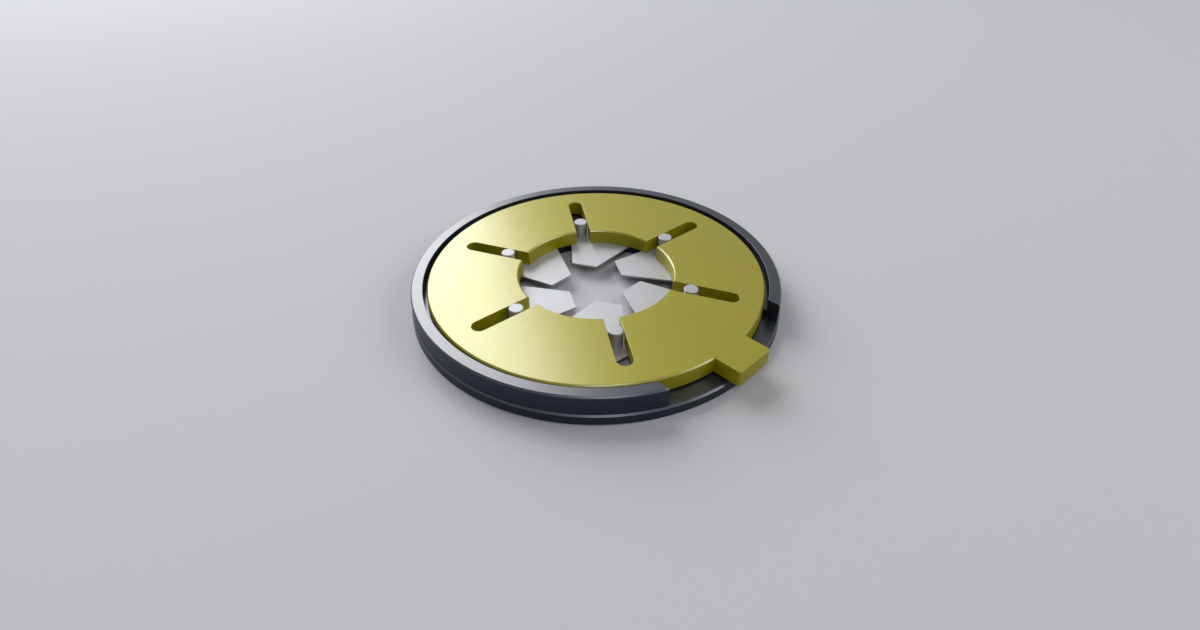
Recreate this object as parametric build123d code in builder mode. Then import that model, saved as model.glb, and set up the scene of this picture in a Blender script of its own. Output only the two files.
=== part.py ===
"""Iris diaphragm: six blades turned together by a slotted ring with a lever.

Millimetres. +Z is the optical axis, the origin is the middle of the bore at the
base plate's back face, and the lever points along +X. The parts are placed with
the iris stopped down.
"""

import os
from math import asin, atan2, cos, degrees, hypot, radians, sin

from build123d import *

os.makedirs("parts", exist_ok=True)

# ---- shared sizes ----
blade_count = 6
blade_pitch = 360 / blade_count
first_slot = 25.7  # degrees from the lever to the first slot
edge_break = 0.4  # chamfer on the visible round edges
running_gap = 0.04  # height left above and below a blade
pivot_clearance = 0.05  # radial

# ---- round sizes, all following the base plate ----
plate_r = 50.0
bore_r = 0.47 * plate_r
rim_r = plate_r - edge_break
rim_wall_t = 3.1
rim_wall_r = rim_r - rim_wall_t
ring_side_gap = 1.0
ring_r = rim_wall_r - ring_side_gap
ring_hole_r = 0.465 * ring_r
slot_end_r = 0.821 * ring_r  # radius to the middle of a slot's round end
drive_r = 0.584 * ring_r  # circle the drive pins stand on
pivot_r = 0.7732 * ring_r  # circle the blades pivot on
pivot_angle = -8.46  # from a blade's slot to its pivot

# ---- base plate ----
plate_t = 3.0

# ---- blades, outline points as fractions of the pivot circle's radius ----
blade_t = 0.5
blade_z = plate_t + running_gap
blade_top = blade_z + blade_t
blade_tip = (0.2283 * pivot_r, -0.0446 * pivot_r)
blade_heel = (0.3184 * pivot_r, 0.1427 * pivot_r)
blade_shoulder = (0.8837 * pivot_r, 0.0691 * pivot_r)
blade_back = (0.5299 * pivot_r, -0.4275 * pivot_r)
shoulder_angle = -61.86  # direction of the edge from the shoulder to the eye
back_round = 4.0
heel_round = 0.4
eye_round = 1.5

# ---- pins ----
drive_pin_d = 3.8
drive_pin_proud = 0.3
drive_pin_chamfer = 0.18
drive_spigot_d = 2.0
pivot_pin_d = 2.5
pivot_pin_depth = 1.6  # length of the pin inside the base plate
pivot_pin_chamfer = 0.2
pivot_hole_depth = 1.8
eye_wall = 1.85
eye_r = pivot_pin_d / 2 + eye_wall

# ---- actuator ring ----
ring_z = blade_top + running_gap
ring_t = 4.18
ring_top = ring_z + ring_t
slot_side_clearance = 0.2
slot_w = drive_pin_d + 2 * slot_side_clearance
lever_w = 11.8
lever_overhang = 2.4  # past the base plate's edge
lever_reach = plate_r + lever_overhang
lever_corner_r = 0.7

# ---- rim ring ----
rim_proud = 0.47  # above the actuator ring
rim_top = ring_top + rim_proud
guide_clearance = 0.05  # radial
guide_r = ring_r + guide_clearance  # land that centres the actuator ring
guide_h = 1.3
ledge_w = 2.0
ledge_r = ring_r - ledge_w  # shelf that carries the actuator ring
rim_gap_w = 42.8  # opening the lever works in, between parallel sides

# ---- screws that hold the rim ring ----
screw_count = 6
screw_inset = 2.0
screw_circle_r = rim_r - screw_inset
screw_from_deg = 40.0
screw_arc_deg = 360 - 2 * screw_from_deg
screw_d = 1.6
screw_head_d = 3.0
screw_sink = 0.1  # head below the plate's back face
screw_length = 6.0
screw_hole_spare = 0.3
screw_clearance = 0.1
driver_slot_w = 0.4
driver_slot_depth = 0.3

# ---- derived blade geometry ----
eye_x = pivot_r * cos(radians(pivot_angle))
eye_y = pivot_r * sin(radians(pivot_angle))
back_dx = eye_x - blade_back[0]
back_dy = eye_y - blade_back[1]
back_span = hypot(back_dx, back_dy)
tangent_dir = atan2(back_dy, back_dx) - asin(eye_r / back_span)
tangent_run = (back_span**2 - eye_r**2) ** 0.5
eye_tangent = (
    blade_back[0] + tangent_run * cos(tangent_dir),
    blade_back[1] + tangent_run * sin(tangent_dir),
)
shoulder_end_run = eye_x - blade_shoulder[0]
shoulder_dir = radians(shoulder_angle)
shoulder_end = (
    blade_shoulder[0] + shoulder_end_run,
    blade_shoulder[1] + shoulder_end_run * sin(shoulder_dir) / cos(shoulder_dir),
)

# ---- base plate ----
with BuildPart() as base_plate:
    with BuildSketch():
        Circle(plate_r)
        Circle(bore_r, mode=Mode.SUBTRACT)
    extrude(amount=plate_t)
    round_edges = base_plate.edges().filter_by(GeomType.CIRCLE)
    chamfer(round_edges.group_by(SortBy.RADIUS)[-1], edge_break)
    # blind holes the blade pivots turn in
    with BuildSketch(Plane.XY.offset(plate_t)):
        with PolarLocations(pivot_r, blade_count, first_slot + pivot_angle):
            Circle(pivot_pin_d / 2 + pivot_clearance)
    extrude(amount=-pivot_hole_depth, mode=Mode.SUBTRACT)
    # countersunk holes from the back for the rim screws
    with Locations(Plane(origin=(0, 0, 0), x_dir=(1, 0, 0), z_dir=(0, 0, -1))):
        with PolarLocations(screw_circle_r, screw_count, screw_from_deg, screw_arc_deg, endpoint=True):
            CounterSinkHole(
                screw_d / 2 + screw_clearance,
                screw_head_d / 2 + screw_sink,
                depth=plate_t,
                counter_sink_angle=90,
            )
base_plate.part.label = "base_plate"
export_step(base_plate.part, "parts/base_plate.step")

# ---- rim ring ----
with BuildPart() as rim_ring:
    with BuildSketch(Plane.XZ):
        with BuildLine():
            Polyline(
                (ledge_r, plate_t),
                (rim_r, plate_t),
                (rim_r, rim_top - edge_break),
                (rim_r - edge_break, rim_top),
                (rim_wall_r, rim_top),
                (rim_wall_r, ring_z + guide_h),
                (guide_r, ring_z + guide_h),
                (guide_r, ring_z),
                (ledge_r, ring_z),
                close=True,
            )
        make_face()
    revolve(axis=Axis.Z)
    # opening for the lever, with sides parallel to it
    with BuildSketch(Plane.XY.offset(plate_t)):
        Rectangle(plate_r, rim_gap_w, align=(Align.MIN, Align.CENTER))
    extrude(amount=rim_top - plate_t, mode=Mode.SUBTRACT)
    # tapped holes from below
    with BuildSketch(Plane.XY.offset(plate_t)):
        with PolarLocations(screw_circle_r, screw_count, screw_from_deg, screw_arc_deg, endpoint=True):
            Circle(screw_d / 2)
    tapped_depth = screw_sink + screw_length + screw_hole_spare - plate_t
    extrude(amount=tapped_depth, mode=Mode.SUBTRACT)
rim_ring.part.label = "rim_ring"
export_step(rim_ring.part, "parts/rim_ring.step")

# ---- rim screws ----
head_h = (screw_head_d - screw_d) / 2
with BuildPart() as rim_screw:
    with BuildSketch(Plane.XZ):
        with BuildLine():
            Polyline(
                (0, screw_sink),
                (screw_head_d / 2, screw_sink),
                (screw_d / 2, screw_sink + head_h),
                (screw_d / 2, screw_sink + screw_length),
                (0, screw_sink + screw_length),
                close=True,
            )
        make_face()
    revolve(axis=Axis.Z)
    with BuildSketch(Plane.XY.offset(screw_sink)):
        Rectangle(screw_head_d, driver_slot_w)
    extrude(amount=driver_slot_depth, mode=Mode.SUBTRACT)

with BuildPart() as rim_screws:
    with PolarLocations(screw_circle_r, screw_count, screw_from_deg, screw_arc_deg, endpoint=True):
        add(rim_screw.part)
rim_screws.part.label = "rim_screws"
export_step(rim_screws.part, "parts/rim_screws.step")

# ---- actuator ring ----
with BuildPart() as actuator_ring:
    with BuildSketch(Plane.XY.offset(ring_z)):
        Circle(ring_r)
        Circle(ring_hole_r, mode=Mode.SUBTRACT)
    extrude(amount=ring_t)
    ring_edges = actuator_ring.edges().filter_by(GeomType.CIRCLE)
    chamfer(ring_edges.group_by(Axis.Z)[-1], edge_break)
    with BuildSketch(Plane.XY.offset(ring_z)) as lever:
        with Locations(((slot_end_r + lever_reach) / 2, 0)):
            Rectangle(lever_reach - slot_end_r, lever_w)
        fillet(lever.vertices().group_by(Axis.X)[-1], lever_corner_r)
    extrude(amount=ring_t)
    # radial slots, open at the hole and round at the outer end
    with BuildSketch(Plane.XY.offset(ring_z)):
        with PolarLocations(slot_end_r / 2, blade_count, first_slot):
            Rectangle(slot_end_r, slot_w)
        with PolarLocations(slot_end_r, blade_count, first_slot):
            Circle(slot_w / 2)
    extrude(amount=ring_t, mode=Mode.SUBTRACT)
actuator_ring.part.label = "actuator_ring"
export_step(actuator_ring.part, "parts/actuator_ring.step")

# ---- one blade's outline, slot along +X ----
with BuildSketch() as blade_outline:
    with BuildLine():
        Polyline(
            blade_tip,
            blade_heel,
            blade_shoulder,
            shoulder_end,
            (eye_x, eye_y),
            eye_tangent,
            blade_back,
            close=True,
        )
    make_face()
    with Locations((eye_x, eye_y)):
        Circle(eye_r)
    corners = blade_outline.vertices()
    fillet(corners.sort_by_distance(blade_back)[0], back_round)
    corners = blade_outline.vertices()
    fillet(corners.sort_by_distance(blade_heel)[0], heel_round)
    corners = blade_outline.vertices()
    fillet(corners.sort_by_distance(blade_shoulder)[0], heel_round)
    corners = blade_outline.vertices()
    fillet(corners.sort_by_distance((eye_x - eye_r, eye_y + eye_r))[0], eye_round)
    # holes the two pins are riveted in
    with Locations((eye_x, eye_y)):
        Circle(pivot_pin_d / 2, mode=Mode.SUBTRACT)
    with Locations((drive_r, 0)):
        Circle(drive_spigot_d / 2, mode=Mode.SUBTRACT)

# ---- blades with their pins ----
for index in range(blade_count):
    number = index + 1
    slot_angle = first_slot + index * blade_pitch

    with BuildPart() as blade:
        with BuildSketch(Plane.XY.offset(blade_z).rotated((0, 0, slot_angle))):
            add(blade_outline.sketch)
        extrude(amount=blade_t)
    blade.part.label = f"blade_{number}"
    export_step(blade.part, f"parts/blade_{number}.step")

    with BuildPart() as drive_pin:
        with BuildSketch(Plane.XY.offset(blade_z)):
            with PolarLocations(drive_r, 1, slot_angle):
                Circle(drive_spigot_d / 2)
        extrude(amount=blade_t)
        with BuildSketch(Plane.XY.offset(blade_top)):
            with PolarLocations(drive_r, 1, slot_angle):
                Circle(drive_pin_d / 2)
        extrude(amount=ring_top + drive_pin_proud - blade_top)
        chamfer(drive_pin.edges().group_by(Axis.Z)[-1], drive_pin_chamfer)
    drive_pin.part.label = f"drive_pin_{number}"
    export_step(drive_pin.part, f"parts/drive_pin_{number}.step")

    with BuildPart() as pivot_pin:
        with BuildSketch(Plane.XY.offset(plate_t - pivot_pin_depth)):
            with PolarLocations(pivot_r, 1, slot_angle + pivot_angle):
                Circle(pivot_pin_d / 2)
        extrude(amount=pivot_pin_depth + running_gap + blade_t)
        chamfer(pivot_pin.edges().group_by(Axis.Z)[0], pivot_pin_chamfer)
    pivot_pin.part.label = f"pivot_pin_{number}"
    export_step(pivot_pin.part, f"parts/pivot_pin_{number}.step")
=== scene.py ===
# %% [markdown]
# # An iris diaphragm
#
# An iris diaphragm is a hole that changes size. Six thin blades lie in one plane.
# Each blade turns on a pin in the base plate, and a second pin on it stands up
# through a slot of the brass ring. When the lever turns the ring, the slots carry
# those pins round and all six blades swing together.
#
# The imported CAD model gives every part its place, its size and its movement. This
# lesson makes the surfaces that are seen: turned brass, anodised aluminium and
# rolled steel, with the eased edges and tool marks that make metal look like metal.

# %% Load the CAD model
from math import asin, atan2, cos, hypot, pi, radians, sin

import bmesh
import bpy
import numpy as np
from mathutils import Matrix, Vector
from mathutils.geometry import tessellate_polygon


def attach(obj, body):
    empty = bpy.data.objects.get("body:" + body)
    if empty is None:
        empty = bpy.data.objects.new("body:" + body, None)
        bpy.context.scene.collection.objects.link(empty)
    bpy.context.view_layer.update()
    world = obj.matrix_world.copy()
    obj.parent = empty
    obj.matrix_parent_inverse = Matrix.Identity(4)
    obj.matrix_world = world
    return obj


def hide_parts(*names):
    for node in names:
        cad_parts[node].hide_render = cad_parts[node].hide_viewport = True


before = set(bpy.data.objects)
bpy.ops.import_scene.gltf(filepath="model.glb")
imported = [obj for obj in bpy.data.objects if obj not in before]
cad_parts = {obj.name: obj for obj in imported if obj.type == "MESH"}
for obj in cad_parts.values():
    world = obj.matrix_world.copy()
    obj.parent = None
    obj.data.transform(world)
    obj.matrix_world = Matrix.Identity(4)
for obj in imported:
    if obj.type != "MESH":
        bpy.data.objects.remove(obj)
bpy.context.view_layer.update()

# %% [markdown]
# ## Sizes
#
# Blender counts in metres and this part is small, so sizes are written in
# millimetres, and `MM` turns them into metres when a mesh is made. The optical axis
# is Z and the lever points along X.

# %% Sizes in millimetres
MM = 0.001
PLATE_TOP = 3.0
BLADE_BOTTOM, BLADE_TOP = 3.04, 3.54
RING_BOTTOM, RING_TOP = 3.58, 7.76
RIM_TOP = 8.23
CHAMFER = 0.4
BLADE_COUNT = 6
PITCH = 360 / BLADE_COUNT
SLOT_ANGLES = 25.7 + PITCH * np.arange(BLADE_COUNT)
print("slots at", SLOT_ANGLES.tolist(), "degrees from the lever")

# %% [markdown]
# ## From an array of points to a solid
#
# Most pieces here are grids: the rows run along a path and the columns run round a
# profile. The four corners of a face are neighbours in the grid, so `np.roll` finds
# them all at once, and it also joins the last row to the first where a path closes.
#
# Points that fall on each other are merged, which closes poles and seams, the normals
# are turned outwards, and neighbouring faces of one plane become one face, so that
# no inner edge leads the bevel astray. Then two modifiers finish the piece. Bevel
# eases the sharp edges, as a deburring tool does, so that every edge catches a thin
# line of light. Weighted Normal keeps the large flat faces flat in the shading.

# %% Helpers: a grid of points becomes a metal piece
SAME_POINT = 0.003                  # points nearer than this are merged
SHARP = 28                          # degrees: edges that bend more are eased


def grid_faces(rows, columns, closed_rows=True, closed_columns=True):
    """Point (i, j) of a grid joins (i+1, j), (i+1, j+1) and (i, j+1) in a face."""
    index = np.arange(rows * columns).reshape(rows, columns)
    beside = np.roll(index, -1, axis=1)
    below, across = np.roll(index, -1, axis=0), np.roll(beside, -1, axis=0)
    corners = np.stack([index, below, across, beside], axis=-1)
    corners = corners[: rows - (not closed_rows), : columns - (not closed_columns)]
    return corners.reshape(-1, 4).tolist()


def metal_piece(name, points, faces, eased):
    """A closed solid from points in millimetres, with its sharp edges eased by `eased`."""
    mesh = bpy.data.meshes.new(name)
    mesh.from_pydata((points.reshape(-1, 3) * MM).tolist(), [], faces)
    tidy = bmesh.new()
    tidy.from_mesh(mesh)
    bmesh.ops.remove_doubles(tidy, verts=tidy.verts, dist=SAME_POINT * MM)
    bmesh.ops.dissolve_degenerate(tidy, edges=tidy.edges, dist=SAME_POINT * MM)
    bmesh.ops.recalc_face_normals(tidy, faces=tidy.faces)
    bmesh.ops.dissolve_limit(tidy, angle_limit=radians(0.1), verts=[], edges=tidy.edges)
    tidy.to_mesh(mesh)
    tidy.free()
    mesh.polygons.foreach_set("use_smooth", np.ones(len(mesh.polygons), dtype=bool))
    piece = bpy.data.objects.new(name, mesh)
    bpy.context.scene.collection.objects.link(piece)
    bevel = piece.modifiers.new("eased edges", "BEVEL")
    bevel.width = eased * MM
    bevel.segments = 3
    bevel.limit_method = "ANGLE"
    bevel.angle_limit = radians(SHARP)
    bevel.use_clamp_overlap = False
    flat = piece.modifiers.new("flat faces stay flat", "WEIGHTED_NORMAL")
    flat.weight = 100
    print(f"{name}: {len(mesh.vertices)} points, {len(mesh.polygons)} faces before the bevel")
    return piece


def polar(radius, angle, height):
    """Points at a radius and an angle in degrees about the optical axis."""
    radius, angle, height = np.broadcast_arrays(radius, np.radians(angle), height)
    return np.stack([radius * np.cos(angle), radius * np.sin(angle), height], axis=-1)

# %% [markdown]
# ## The rim ring
#
# The raised rim keeps fingers and dust off the edge of the brass ring, and its foot
# carries that ring. On the real part it is turned on a lathe, and then an opening
# with parallel sides is milled through it for the lever. A turned part is one
# profile carried round an axis, so the grid has an angle for each row and a profile
# corner for each column. The path of each corner stops at the two milled faces, at
# the angle where its circle meets them, and one flat face closes each end.

# %% Make the rim ring
RIM_R, WALL_R = 49.6, 46.5          # outside and inside of the raised wall
LAND_R, LAND_TOP = 45.55, 4.88      # the land that centres the brass ring
LEDGE_R = 43.5                      # the ledge that carries it
GAP_HALF = 21.4                     # half of the milled opening's width
RIM_PROFILE = np.array([            # radius, height
    (LEDGE_R, PLATE_TOP), (RIM_R, PLATE_TOP), (RIM_R, RIM_TOP - CHAMFER), (RIM_R - CHAMFER, RIM_TOP),
    (WALL_R, RIM_TOP), (WALL_R, LAND_TOP), (LAND_R, LAND_TOP), (LAND_R, RING_BOTTOM), (LEDGE_R, RING_BOTTOM),
])


def rim_ring():
    """The profile's radius r and height from angle g to 360 - g, with sin(g) = GAP_HALF / r."""
    radius, height = RIM_PROFILE.T
    side = np.degrees(np.arcsin(GAP_HALF / radius))
    turn = side + (360 - 2 * side) * np.linspace(0, 1, 241)[:, None]
    points = polar(radius[None, :], turn, height[None, :])
    rows, columns = points.shape[:2]
    first, last = list(range(columns)), list(range((rows - 1) * columns, rows * columns))
    faces = grid_faces(rows, columns, closed_rows=False) + [first, last[::-1]]
    return metal_piece("turned_rim", points, faces, eased=0.07)


rim = rim_ring()

# %% [markdown]
# ## The brass ring
#
# The ring is flat, and it has two outlines: outside, a circle that runs out into the
# lever, and inside, the round hole with six slots that open into it. Seen from the
# axis, each direction meets each outline once. So both outlines can be written as a
# radius for an angle, and the whole ring is one closed grid: the angle picks the
# row, and six columns go up the inner wall, across the top, down the outer wall and
# back underneath.
#
# The chamfer is cut on the two circles only. Where a slot or the lever breaks the
# circle, the cut runs out into its side, which `top_in_angle` and `top_out_angle`
# in `brass_ring` take care of.

# %% Outlines of the brass ring
RING_R, HOLE_R = 45.5, 21.1575
SLOT_HALF, SLOT_END = 2.1, 37.3555          # half width, and radius to the round end's middle
LEVER_HALF, LEVER_TIP, LEVER_ROUND = 5.9, 52.4, 0.7
slot_mouth = np.degrees(asin(SLOT_HALF / HOLE_R))
slot_mouth_top = np.degrees(asin(SLOT_HALF / (HOLE_R + CHAMFER)))
slot_tangent = np.degrees(atan2(SLOT_HALF, SLOT_END))
lever_root = np.degrees(asin(LEVER_HALF / RING_R))
lever_root_top = np.degrees(asin(LEVER_HALF / (RING_R - CHAMFER)))
LEVER_CORNER = (LEVER_TIP - LEVER_ROUND, LEVER_HALF - LEVER_ROUND)
lever_round_from = np.degrees(atan2(LEVER_CORNER[1], LEVER_TIP))
lever_round_to = np.degrees(atan2(LEVER_HALF, LEVER_CORNER[0]))


def far_side_of_circle(angle, middle, middle_angle, radius):
    """Where a ray from the axis leaves a circle: m cos(a) + sqrt(r^2 - m^2 sin^2(a))."""
    a = np.radians(angle - middle_angle)
    return middle * np.cos(a) + np.sqrt(np.clip(radius**2 - (middle * np.sin(a)) ** 2, 0, None))


def from_slot(angle):
    """Angle from the nearest slot's middle, between -30 and 30 degrees."""
    return (angle - SLOT_ANGLES[0] + PITCH / 2) % PITCH - PITCH / 2


def inner_outline(angle):
    """Hole radius, or w / sin(a) along a slot's straight side, or the slot's round end."""
    a = np.abs(from_slot(angle))
    side = SLOT_HALF / np.sin(np.radians(np.maximum(a, 1e-3)))
    end = far_side_of_circle(a, SLOT_END, 0.0, SLOT_HALF)
    return np.where(a >= slot_mouth, HOLE_R, np.where(a <= slot_tangent, end, side))


def outer_outline(angle):
    """Ring radius, or h / sin(a) along the lever's side, its rounded corner, t / cos(a) at its tip."""
    a = np.abs(angle)
    side = LEVER_HALF / np.sin(np.radians(np.maximum(a, 1e-3)))
    tip = LEVER_TIP / np.cos(np.radians(np.minimum(a, 45)))
    corner_at = np.degrees(atan2(LEVER_CORNER[1], LEVER_CORNER[0]))
    corner = far_side_of_circle(a, hypot(*LEVER_CORNER), corner_at, LEVER_ROUND)
    lever = np.where(a <= lever_round_from, tip, np.where(a >= lever_round_to, side, corner))
    return np.where(a >= lever_root, RING_R, lever)


print("slot mouth %.2f deg, lever root %.2f deg" % (slot_mouth, lever_root))

# %% Make the brass ring
def ring_directions():
    """Even steps all round, and extra ones where an outline bends or is round."""
    round_end = np.degrees(np.arctan2(
        SLOT_HALF * np.sin(np.linspace(-pi / 2, pi / 2, 25)),
        SLOT_END + SLOT_HALF * np.cos(np.linspace(-pi / 2, pi / 2, 25))))
    at_slot = np.concatenate([round_end, [-slot_mouth, -slot_mouth_top, slot_mouth_top, slot_mouth]])
    corner = np.linspace(lever_round_from, lever_round_to, 9)
    at_lever = np.concatenate([corner, -corner, [-lever_root, lever_root]])
    even = np.arange(-180, 180, 1.5)
    even = even[np.abs(from_slot(even)) > slot_mouth + 0.3]
    even = even[(np.abs(even) > lever_root + 0.3) | (np.abs(even) < lever_round_from - 0.3)]
    slots = (SLOT_ANGLES[:, None] + at_slot[None, :]).ravel()
    return np.unique(np.round((np.concatenate([even, slots, at_lever]) + 180) % 360 - 180, 7))


def brass_ring():
    """Six columns for each direction: inner wall, inner chamfer, top, outer chamfer, outer wall."""
    angle = ring_directions()
    off = from_slot(angle)
    inner, outer = inner_outline(angle), outer_outline(angle)
    in_slot = np.abs(off) <= slot_mouth + 1e-4
    at_lever = np.abs(angle) < lever_root - 1e-4
    inner_cut = np.clip(HOLE_R + CHAMFER - inner, 0, CHAMFER)
    outer_cut = np.where(at_lever, 0, CHAMFER)
    top_in_angle = angle - off + np.where(in_slot, np.clip(off, -slot_mouth_top, slot_mouth_top), off)
    top_in = np.maximum(inner, HOLE_R + CHAMFER)
    at_root = ~at_lever & (np.abs(angle) < lever_root_top)
    top_out_angle = np.where(at_root, np.sign(angle) * lever_root_top, angle)
    points = np.stack([
        polar(inner, angle, RING_BOTTOM),
        polar(inner, angle, RING_TOP - inner_cut),
        polar(top_in, top_in_angle, RING_TOP),
        polar(outer - outer_cut, top_out_angle, RING_TOP),
        polar(outer, angle, RING_TOP - outer_cut),
        polar(outer, angle, RING_BOTTOM),
    ], axis=1)
    return metal_piece("slotted_brass_ring", points, grid_faces(*points.shape[:2]), eased=0.07)


ring = brass_ring()

# %% [markdown]
# ## The blades
#
# A blade is stamped from thin steel strip, so it is a flat outline with a straight
# wall. Its outline is straight edges joined by arcs: the pointed tip and the heel
# that meet the light, the shoulder, and the round eye about the pivot. Two small
# holes take the rivets of its pins. Blender's polygon filler closes the flat faces
# round those holes, and one grid for each outline makes the walls.

# %% Outline of a blade whose slot lies along X
PIVOT_R, DRIVE_R, PIVOT_BEHIND = 35.1806, 26.572, -8.46
DRIVE_RIVET_R, PIVOT_PIN_R = 1.0, 1.25      # the two holes, and the pins through them
EYE_R, EYE_FILLET = 3.1, 1.5
SHOULDER_ANGLE = -61.86                     # direction of the edge from the shoulder to the eye
CORNER_ROUND, BACK_ROUND = 0.4, 4.0
TIP, HEEL, SHOULDER, BACK = PIVOT_R * np.array([
    (0.2283, -0.0446), (0.3184, 0.1427), (0.8837, 0.0691), (0.5299, -0.4275)])
EYE = polar(PIVOT_R, PIVOT_BEHIND, 0.0)[:2]


def arc(middle, radius, start, sweep, steps):
    """Middle plus radius times the cosine and sine of angles from start through sweep."""
    a = start + sweep * np.linspace(0, 1, steps)
    return middle + radius * np.stack([np.cos(a), np.sin(a)], axis=-1)


def bearing(vector):
    """The direction of a vector as an angle."""
    return atan2(vector[1], vector[0])


def rounded(before, corner, after, radius, steps=9):
    """The arc that touches both edges of a corner, its middle r / sin(half angle) along the bisector."""
    u, v = [(p - corner) / hypot(*(p - corner)) for p in (before, after)]
    half = 0.5 * np.arccos(np.clip(u @ v, -1, 1))
    middle = corner + (u + v) / hypot(*(u + v)) * radius / sin(half)
    reach = radius / np.tan(half)
    start, end = bearing(corner + u * reach - middle), bearing(corner + v * reach - middle)
    return arc(middle, radius, start, (end - start + pi) % (2 * pi) - pi, steps)


def blade_outline():
    """Tip, heel, shoulder, hollow, eye and back, clockwise."""
    run = np.array([cos(radians(SHOULDER_ANGLE)), sin(radians(SHOULDER_ANGLE))])
    out = np.array([-run[1], run[0]])
    offset = SHOULDER + EYE_FILLET * out - EYE
    along = -offset @ run - ((offset @ run) ** 2 - offset @ offset + (EYE_R + EYE_FILLET) ** 2) ** 0.5
    hollow = EYE + offset + along * run
    span = EYE - BACK
    tangent = bearing(span) - asin(EYE_R / hypot(*span))
    touch = BACK + (span @ span - EYE_R**2) ** 0.5 * np.array([cos(tangent), sin(tangent)])
    to_eye, to_touch = bearing(EYE - hollow), bearing(touch - EYE)
    start = bearing(hollow - EYE)
    turn_in = (to_eye - bearing(-out) + pi) % (2 * pi) - pi
    turn_round = -((start - to_touch) % (2 * pi))
    return np.concatenate([
        TIP[None],
        rounded(TIP, HEEL, SHOULDER, CORNER_ROUND),
        rounded(HEEL, SHOULDER, SHOULDER + 5 * run, CORNER_ROUND),
        arc(hollow, EYE_FILLET, bearing(-out), turn_in, 9)[:-1],
        arc(EYE, EYE_R, start, turn_round, 41),
        rounded(touch, BACK, TIP, BACK_ROUND, 17),
    ])


outline = blade_outline()
print("blade outline:", len(outline), "points, reach %.2f mm" % np.hypot(*outline.T).max())

# %% Make the six blades
def turned(points, degrees_round):
    """Rotation about the axis: x cos - y sin, x sin + y cos."""
    c, s = cos(radians(degrees_round)), sin(radians(degrees_round))
    return points @ np.array([[c, s], [-s, c]])


def blade(number, slot_angle):
    """Walls on the outline and on both rivet holes, and two flat faces filled between them."""
    eye_hole = arc(EYE, PIVOT_PIN_R, 0, 2 * pi, 33)[:-1]
    rivet_hole = arc(np.array([DRIVE_R, 0]), DRIVE_RIVET_R, 0, 2 * pi, 33)[:-1]
    loops = [turned(loop, slot_angle) for loop in (outline, eye_hole, rivet_hole)]
    flat = np.concatenate(loops)
    points = np.concatenate([np.insert(flat, 2, z, axis=1) for z in (BLADE_BOTTOM, BLADE_TOP)])
    start, faces = 0, []
    for loop in loops:
        n = len(loop)
        ring_of = np.arange(start, start + n)
        beside = np.roll(ring_of, -1)
        faces += np.stack([ring_of, beside, beside + len(flat), ring_of + len(flat)], axis=-1).tolist()
        start += n
    fill = np.array(tessellate_polygon([[Vector((x, y, 0)) for x, y in loop] for loop in loops]))
    faces += fill.tolist() + (fill + len(flat)).tolist()
    return metal_piece(f"steel_blade_{number}", points, faces, eased=0.04)


blades = [blade(i + 1, a) for i, a in enumerate(SLOT_ANGLES)]

# %% [markdown]
# ## The pins
#
# Each blade carries two turned pins. The drive pin has a thin end riveted into the
# blade and a stout body that stands up through the ring's slot. The pivot pin is
# riveted at the eye and points down into the base plate. A turned pin is its half
# profile carried round its own axis. The profile starts and ends on the axis, where
# the points of every row fall together and are merged into one.

# %% Make the pins
DRIVE_PIN_R, DRIVE_TOP, DRIVE_BREAK = 1.9, 8.06, 0.18
PIVOT_BOTTOM, PIVOT_BREAK = 1.4, 0.2
DRIVE_PROFILE = np.array([          # radius from the pin's own axis, height
    (0, BLADE_BOTTOM), (DRIVE_RIVET_R, BLADE_BOTTOM), (DRIVE_RIVET_R, BLADE_TOP), (DRIVE_PIN_R, BLADE_TOP),
    (DRIVE_PIN_R, DRIVE_TOP - DRIVE_BREAK), (DRIVE_PIN_R - DRIVE_BREAK, DRIVE_TOP), (0, DRIVE_TOP),
])
PIVOT_PROFILE = np.array([
    (0, PIVOT_BOTTOM), (PIVOT_PIN_R - PIVOT_BREAK, PIVOT_BOTTOM), (PIVOT_PIN_R, PIVOT_BOTTOM + PIVOT_BREAK),
    (PIVOT_PIN_R, BLADE_TOP), (0, BLADE_TOP),
])


def turned_pin(name, profile, middle):
    """Middle plus the profile's radius in every direction, at the profile's heights."""
    points = polar(profile[None, :, 0], np.arange(0, 360, 7.5)[:, None], profile[None, :, 1])
    points = points + np.array([middle[0], middle[1], 0.0])
    return metal_piece(name, points, grid_faces(*points.shape[:2], closed_columns=False), eased=0.03)


drive_middles = polar(DRIVE_R, SLOT_ANGLES, 0.0)[:, :2]
pivot_middles = polar(PIVOT_R, SLOT_ANGLES + PIVOT_BEHIND, 0.0)[:, :2]
drive_pins = [turned_pin(f"drive_stud_{i}", DRIVE_PROFILE, m) for i, m in enumerate(drive_middles, 1)]
pivot_pins = [turned_pin(f"pivot_stud_{i}", PIVOT_PROFILE, m) for i, m in enumerate(pivot_middles, 1)]

# %% [markdown]
# ## Joining the pieces to the moving model
#
# Each piece stands for one CAD node and rides on that node's body, so it moves with
# the lever as the solid does. The base plate and the screws keep their CAD surfaces,
# because their chamfers and countersinks are already as fine as they need to be.

# %% Ride and replace
def stands_for(piece, body, node):
    """The piece moves with the body and hides the CAD node."""
    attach(piece, body)
    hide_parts(node)


stands_for(rim, "base", "rim_ring")
stands_for(ring, "ring", "actuator_ring")
for i, (leaf, drive_pin, pivot_pin) in enumerate(zip(blades, drive_pins, pivot_pins), 1):
    stands_for(leaf, f"blade_body_{i}", f"blade_{i}")
    stands_for(drive_pin, f"blade_body_{i}", f"drive_pin_{i}")
    stands_for(pivot_pin, f"blade_body_{i}", f"pivot_pin_{i}")
print("pieces joined:", 2 + 3 * BLADE_COUNT)

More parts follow.
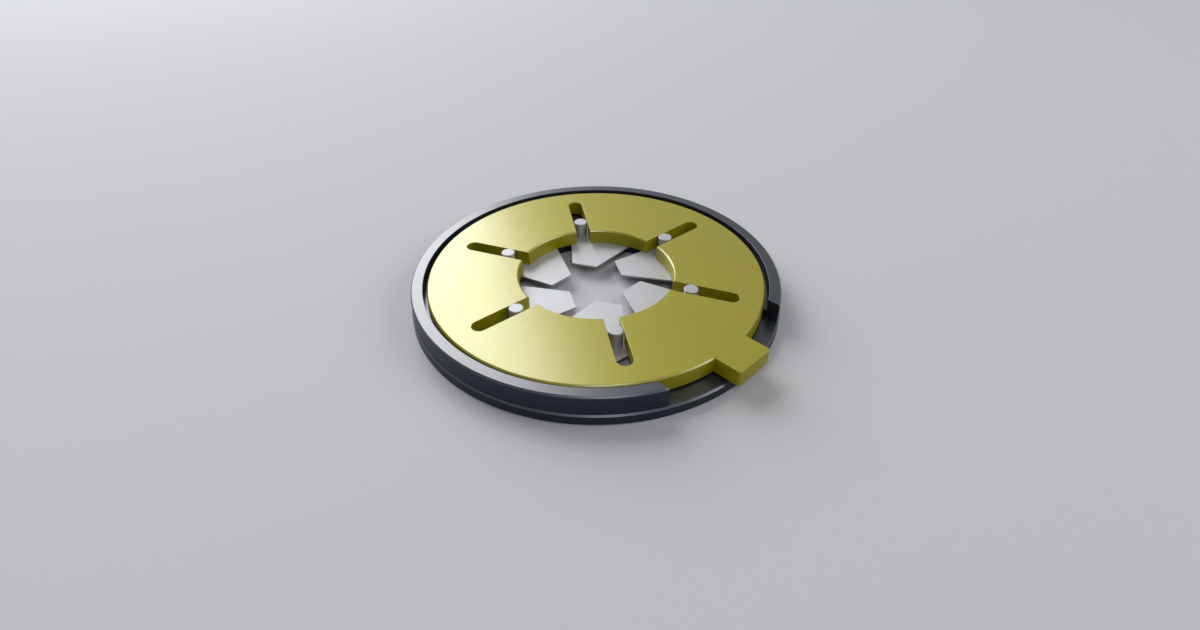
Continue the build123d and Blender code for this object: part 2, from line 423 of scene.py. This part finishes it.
# %% [markdown]
# ## Marks that more than one metal shares
#
# A lathe leaves fine rings about the axis it turned on. Rolled strip has long fine
# streaks. Any handled metal is a little uneven in tone and gloss. Each of these is
# one shader node group with named inputs, built once and placed in every material
# that needs it with its own values. The groups put out heights and shifts only, and
# the shader itself stays in each material.

# %% Helper: a node group with named sockets
def new_group(name, inputs, outputs):
    """An empty group: inputs and outputs are (name, socket type, default)."""
    tree = bpy.data.node_groups.new(name, "ShaderNodeTree")
    for direction, sockets in (("INPUT", inputs), ("OUTPUT", outputs)):
        for label, kind, default in sockets:
            socket = tree.interface.new_socket(name=label, in_out=direction, socket_type=kind)
            if default is not None:
                socket.default_value = default
    return tree, tree.nodes.new("NodeGroupInput"), tree.nodes.new("NodeGroupOutput")


def node(tree, kind, settings=None, **values):
    """A node with its settings, and with values or links for its named inputs."""
    made = tree.nodes.new(kind)
    for key, value in (settings or {}).items():
        setattr(made, key, value)
    for key, value in values.items():
        socket = made.inputs[int(key[1:])] if key[0] == "_" else made.inputs[key.replace("_", " ")]
        if isinstance(value, bpy.types.NodeSocket):
            tree.links.new(value, socket)
        else:
            socket.default_value = value
    return made


# %% Lathe rings
lathe_rings, given, result = new_group(
    "lathe rings",
    [("Position", "NodeSocketVector", None), ("Rings per mm", "NodeSocketFloat", 6.0)],
    [("Height", "NodeSocketFloat", None), ("Gloss shift", "NodeSocketFloat", None)])
flat_position = node(lathe_rings, "ShaderNodeVectorMath", {"operation": "MULTIPLY"},
                     _0=given.outputs["Position"], _1=(1 / MM, 1 / MM, 0))
radius = node(lathe_rings, "ShaderNodeVectorMath", {"operation": "LENGTH"}, _0=flat_position.outputs[0])
ring_count = node(lathe_rings, "ShaderNodeMath", {"operation": "MULTIPLY"},
                  _0=radius.outputs["Value"], _1=given.outputs["Rings per mm"])
fine = node(lathe_rings, "ShaderNodeTexNoise", {"noise_dimensions": "1D"},
            W=ring_count.outputs[0], Scale=1.0, Detail=2.0, Roughness=0.6)
band = node(lathe_rings, "ShaderNodeTexNoise", {"noise_dimensions": "1D"},
            W=radius.outputs["Value"], Scale=0.55, Detail=3.0, Roughness=0.6)
band_shift = node(lathe_rings, "ShaderNodeMath", {"operation": "SUBTRACT"},
                  _0=band.outputs[0], _1=0.5)
lathe_rings.links.new(fine.outputs[0], result.inputs["Height"])
lathe_rings.links.new(band_shift.outputs[0], result.inputs["Gloss shift"])

# %% Rolled grain
rolled_grain, given, result = new_group(
    "rolled grain",
    [("Position", "NodeSocketVector", None), ("Streaks per mm", "NodeSocketFloat", 8.0)],
    [("Height", "NodeSocketFloat", None), ("Gloss shift", "NodeSocketFloat", None)])
stretched = node(rolled_grain, "ShaderNodeVectorMath", {"operation": "MULTIPLY"},
                 _0=given.outputs["Position"], _1=(0.06 / MM, 1 / MM, 1 / MM))
streak = node(rolled_grain, "ShaderNodeTexNoise", {}, Vector=stretched.outputs[0],
              Scale=given.outputs["Streaks per mm"], Detail=2.0, Roughness=0.55)
streak_shift = node(rolled_grain, "ShaderNodeMath", {"operation": "SUBTRACT"},
                    _0=streak.outputs[0], _1=0.5)
rolled_grain.links.new(streak.outputs[0], result.inputs["Height"])
rolled_grain.links.new(streak_shift.outputs[0], result.inputs["Gloss shift"])

# %% Handled metal
handled, given, result = new_group(
    "handled metal",
    [("Position", "NodeSocketVector", None), ("Colour", "NodeSocketColor", None),
     ("Toned colour", "NodeSocketColor", None), ("Gloss", "NodeSocketFloat", 0.3),
     ("Gloss range", "NodeSocketFloat", 0.05), ("Gloss shift", "NodeSocketFloat", 0.0)],
    [("Colour", "NodeSocketColor", None), ("Roughness", "NodeSocketFloat", None)])
cloud = node(handled, "ShaderNodeTexNoise", {},
             Vector=given.outputs["Position"], Scale=55.0, Detail=5.0, Roughness=0.62)
toned = node(handled, "ShaderNodeMix", {"data_type": "RGBA"},
             _0=cloud.outputs[0], _6=given.outputs["Colour"], _7=given.outputs["Toned colour"])
cloud_shift = node(handled, "ShaderNodeMath", {"operation": "SUBTRACT"}, _0=cloud.outputs[0], _1=0.5)
shifts = node(handled, "ShaderNodeMath", {"operation": "ADD"},
              _0=cloud_shift.outputs[0], _1=given.outputs["Gloss shift"])
scaled = node(handled, "ShaderNodeMath", {"operation": "MULTIPLY"},
              _0=shifts.outputs[0], _1=given.outputs["Gloss range"])
total = node(handled, "ShaderNodeMath", {"operation": "ADD"},
             _0=scaled.outputs[0], _1=given.outputs["Gloss"])
handled.links.new(toned.outputs[2], result.inputs["Colour"])
handled.links.new(total.outputs[0], result.inputs["Roughness"])
print("node groups:", [g.name for g in bpy.data.node_groups])

# %% [markdown]
# ## The finishes
#
# Four metals are seen. The ring is turned brass under a thin clear lacquer, which
# keeps it from browning and adds a white sheen over the yellow one. The housing is
# aluminium, turned and anodised slate grey, and its sealed layer shines in the same
# way. The blades are rolled spring steel, the pins turned steel and the screws plain
# steel.
#
# A metal's colour is its reflection, so the colour goes in `Base Color`. `Metallic`
# stays below 1 where fine tool marks scatter part of the light. The clear film is
# the coat: it lies thick on flat faces and thin on upright walls, so `Coat Weight`
# follows the upward part of the object's own normal.

# %% Build a metal
def metal(name, colour, toned_colour, gloss, gloss_range, marks, marks_input, depth, middle=(0, 0),
          turn=0.0, metallic=1.0, bare_shine=0.5, coat=0.0, wall_coat=0.0, coat_gloss=0.2, coat_density=1.5):
    """Position -> marks -> bump, position -> handled metal -> colour and roughness, normal -> coat."""
    made = bpy.data.materials.new(name)
    made.use_nodes = True
    tree = made.node_tree
    shader = tree.nodes["Principled BSDF"]
    place = node(tree, "ShaderNodeTexCoord")
    centred = node(tree, "ShaderNodeMapping", {"vector_type": "TEXTURE"}, Vector=place.outputs["Object"],
                   Location=(middle[0] * MM, middle[1] * MM, 0), Rotation=(0, 0, radians(turn)))
    scored = node(tree, "ShaderNodeGroup", {"node_tree": marks},
                  Position=centred.outputs[0], _1=marks_input)
    surface = node(tree, "ShaderNodeGroup", {"node_tree": handled}, Position=centred.outputs[0],
                   Colour=colour, Toned_colour=toned_colour, Gloss=gloss, Gloss_range=gloss_range,
                   Gloss_shift=scored.outputs["Gloss shift"])
    bump = node(tree, "ShaderNodeBump", {},
                Height=scored.outputs["Height"], Strength=1.0, Distance=depth * MM)
    tree.links.new(surface.outputs["Colour"], shader.inputs["Base Color"])
    tree.links.new(surface.outputs["Roughness"], shader.inputs["Roughness"])
    tree.links.new(bump.outputs[0], shader.inputs["Normal"])
    shader.inputs["Metallic"].default_value = metallic
    shader.inputs["Specular IOR Level"].default_value = bare_shine
    facing = node(tree, "ShaderNodeSeparateXYZ", {}, Vector=place.outputs["Normal"])
    level = node(tree, "ShaderNodeMath", {"operation": "ABSOLUTE"}, _0=facing.outputs["Z"])
    film = node(tree, "ShaderNodeMapRange", {}, Value=level.outputs[0])
    for socket, value in (("From Min", 0.2), ("From Max", 0.65), ("To Min", wall_coat), ("To Max", coat)):
        film.inputs[socket].default_value = value
    tree.links.new(film.outputs[0], shader.inputs["Coat Weight"])
    shader.inputs["Coat Roughness"].default_value = coat_gloss
    shader.inputs["Coat IOR"].default_value = coat_density
    return made


def finish(pieces, material):
    """Gives the pieces one material, in the slot that is there already or in a new one."""
    for piece in pieces:
        if len(piece.data.materials):
            piece.material_slots[0].link = "OBJECT"
            piece.material_slots[0].material = material
        else:
            piece.data.materials.append(material)


# %% Brass, housing and steels
filmed = {"marks": lathe_rings, "depth": 0.0012, "bare_shine": 0.0, "coat": 1.0, "coat_density": 1.9}
brass = metal("turned brass", (0.335, 0.303, 0.004, 1), (0.30, 0.272, 0.003, 1), gloss=0.50,
              gloss_range=0.10, marks_input=5.0, metallic=0.42, wall_coat=0.3, coat_gloss=0.25, **filmed)
slate = metal("slate anodised aluminium", (0.024, 0.031, 0.050, 1), (0.021, 0.027, 0.043, 1), gloss=0.45,
              gloss_range=0.08, marks_input=4.0, metallic=0.6, wall_coat=0.2, coat_gloss=0.30, **filmed)
finish([ring], brass)
finish([rim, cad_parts["base_plate"]], slate)
for i, a in enumerate(SLOT_ANGLES):
    steel = metal(f"rolled blade steel {i + 1}", (0.50, 0.51, 0.53, 1), (0.45, 0.46, 0.48, 1), gloss=0.45,
                  gloss_range=0.14, marks=rolled_grain, marks_input=7.0, depth=0.0010, turn=a, metallic=0.5)
    turned_steel = metal(f"turned pin steel {i + 1}", (0.46, 0.47, 0.49, 1), (0.42, 0.43, 0.45, 1),
                         gloss=0.46, gloss_range=0.10, marks=lathe_rings, marks_input=10.0, depth=0.0010,
                         middle=drive_middles[i], metallic=0.5)
    finish([blades[i]], steel)
    finish([drive_pins[i], pivot_pins[i]], turned_steel)
screw_steel = metal("screw steel", (0.42, 0.43, 0.45, 1), (0.36, 0.37, 0.39, 1), gloss=0.32, gloss_range=0.1,
                    marks=lathe_rings, marks_input=6.0, depth=0.0010)
finish([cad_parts["rim_screws"]], screw_steel)
print("materials:", len(bpy.data.materials))

# %% [markdown]
# ## Floor, light and camera
#
# A plain pale floor carries the shadow and fades with distance into the colour of
# the sky, so that no horizon shows. One large soft lamp behind and to the left lies
# in the mirror direction of the flat faces, so the brass brightens across its width.
# A small lamp above the front lights the broken edges, one at the right lights the
# side of the lever, and the sky fills the rest. The camera looks down at about 35
# degrees.

# %% Floor and sky
SKY_COLOUR = (0.97, 0.98, 1.0, 1)
SKY_SHOWN, SKY_LIGHT = 0.36, 0.20           # what is seen, and what lights the part
FADE_FROM, FADE_TO = 0.45, 1.4              # metres from the part


def seen_directly(tree):
    """1 for rays from the camera and for mirror rays, 0 for the rest."""
    path = node(tree, "ShaderNodeLightPath")
    return node(tree, "ShaderNodeMath", {"operation": "MAXIMUM"}, _0=path.outputs["Is Camera Ray"],
                _1=path.outputs["Is Glossy Ray"]).outputs[0]


def floor_plane(half):
    """A square that fades with distance into the colour of the sky, so that no horizon shows."""
    mesh = bpy.data.meshes.new("floor")
    corners = [(-half, -half, 0), (half, -half, 0), (half, half, 0), (-half, half, 0)]
    mesh.from_pydata(corners, [], [(0, 1, 2, 3)])
    made = bpy.data.objects.new("floor", mesh)
    bpy.context.scene.collection.objects.link(made)
    paint = bpy.data.materials.new("pale floor")
    paint.use_nodes = True
    tree = paint.node_tree
    matt = tree.nodes["Principled BSDF"]
    matt.inputs["Base Color"].default_value = (0.49, 0.50, 0.52, 1)
    matt.inputs["Roughness"].default_value = 0.85
    place = node(tree, "ShaderNodeTexCoord")
    far = node(tree, "ShaderNodeVectorMath", {"operation": "LENGTH"}, _0=place.outputs["Object"])
    fade = node(tree, "ShaderNodeMapRange", {"interpolation_type": "SMOOTHSTEP"},
                Value=far.outputs["Value"])
    fade.inputs["From Min"].default_value, fade.inputs["From Max"].default_value = FADE_FROM, FADE_TO
    shown = node(tree, "ShaderNodeMath", {"operation": "MULTIPLY"},
                 _0=fade.outputs[0], _1=seen_directly(tree))
    haze = node(tree, "ShaderNodeEmission", {}, Color=SKY_COLOUR, Strength=SKY_SHOWN)
    mixed = node(tree, "ShaderNodeMixShader", {}, _0=shown.outputs[0], _1=matt.outputs[0], _2=haze.outputs[0])
    tree.links.new(mixed.outputs[0], tree.nodes["Material Output"].inputs["Surface"])
    mesh.materials.append(paint)


floor_plane(12.0)
sky = bpy.data.worlds.new("pale studio")
bpy.context.scene.world = sky
sky.use_nodes = True
tree = sky.node_tree
strength = node(tree, "ShaderNodeMapRange", {}, Value=seen_directly(tree))
strength.inputs["To Min"].default_value, strength.inputs["To Max"].default_value = SKY_LIGHT, SKY_SHOWN
tree.links.new(strength.outputs[0], tree.nodes["Background"].inputs["Strength"])
tree.nodes["Background"].inputs["Color"].default_value = SKY_COLOUR

# %% Camera and lamps
UNIT = 0.45106                      # millimetres in the camera frame's unit
HEADING = radians(45.2)             # turn from the camera's own frame to the world's
TILT = radians(35.264)              # below the horizon
SENSOR, FRAME_WIDTH = 36.0, 1200    # millimetres, pixels
FOCAL, SHIFT = 688.05, -30          # pixels


def from_camera_frame(x, y, z):
    """Turns a point about the axis by the heading, and scales it to metres."""
    x, y, z = x * UNIT, y * UNIT, z * UNIT + RING_TOP
    return Vector((x * cos(HEADING) - y * sin(HEADING), x * sin(HEADING) + y * cos(HEADING), z)) * MM


def aimed(thing, place, target):
    """Puts an object at a place, looking along its own -Z at the target."""
    facing = (target - place).to_track_quat("-Z", "Y")
    thing.matrix_world = Matrix.Translation(place) @ facing.to_matrix().to_4x4()
    bpy.context.scene.collection.objects.link(thing)


lens = bpy.data.cameras.new("camera")
lens.sensor_width, lens.lens, lens.shift_y = SENSOR, SENSOR * FOCAL / FRAME_WIDTH, SHIFT / FRAME_WIDTH
camera = bpy.data.objects.new("camera", lens)
eye = from_camera_frame(2.337, -346.2, 233.9)
ahead = from_camera_frame(0, 100 * cos(TILT), -100 * sin(TILT)) - from_camera_frame(0, 0, 0)
aimed(camera, eye, eye + ahead)
bpy.context.scene.camera = camera


def soft_lamp(name, place, size, power):
    """A square area lamp aimed at the middle of the ring."""
    light = bpy.data.lights.new(name, "AREA")
    light.size, light.energy = size, power
    aimed(bpy.data.objects.new(name, light), from_camera_frame(*place), from_camera_frame(0, 0, 0))


soft_lamp("key behind left", (-1790, 2420, 1955), size=1.32, power=29.4)
soft_lamp("front above", (290, -2060, 2930), size=0.50, power=4.6)
soft_lamp("right", (2640, -330, 1950), size=0.90, power=7.0)
print("camera at", [round(v * 1000) for v in camera.location], "mm")

# %% [markdown]
# ## The view transform
#
# The render uses the Standard view transform.

# %% Finish
bpy.context.scene.view_settings.view_transform = "Standard"
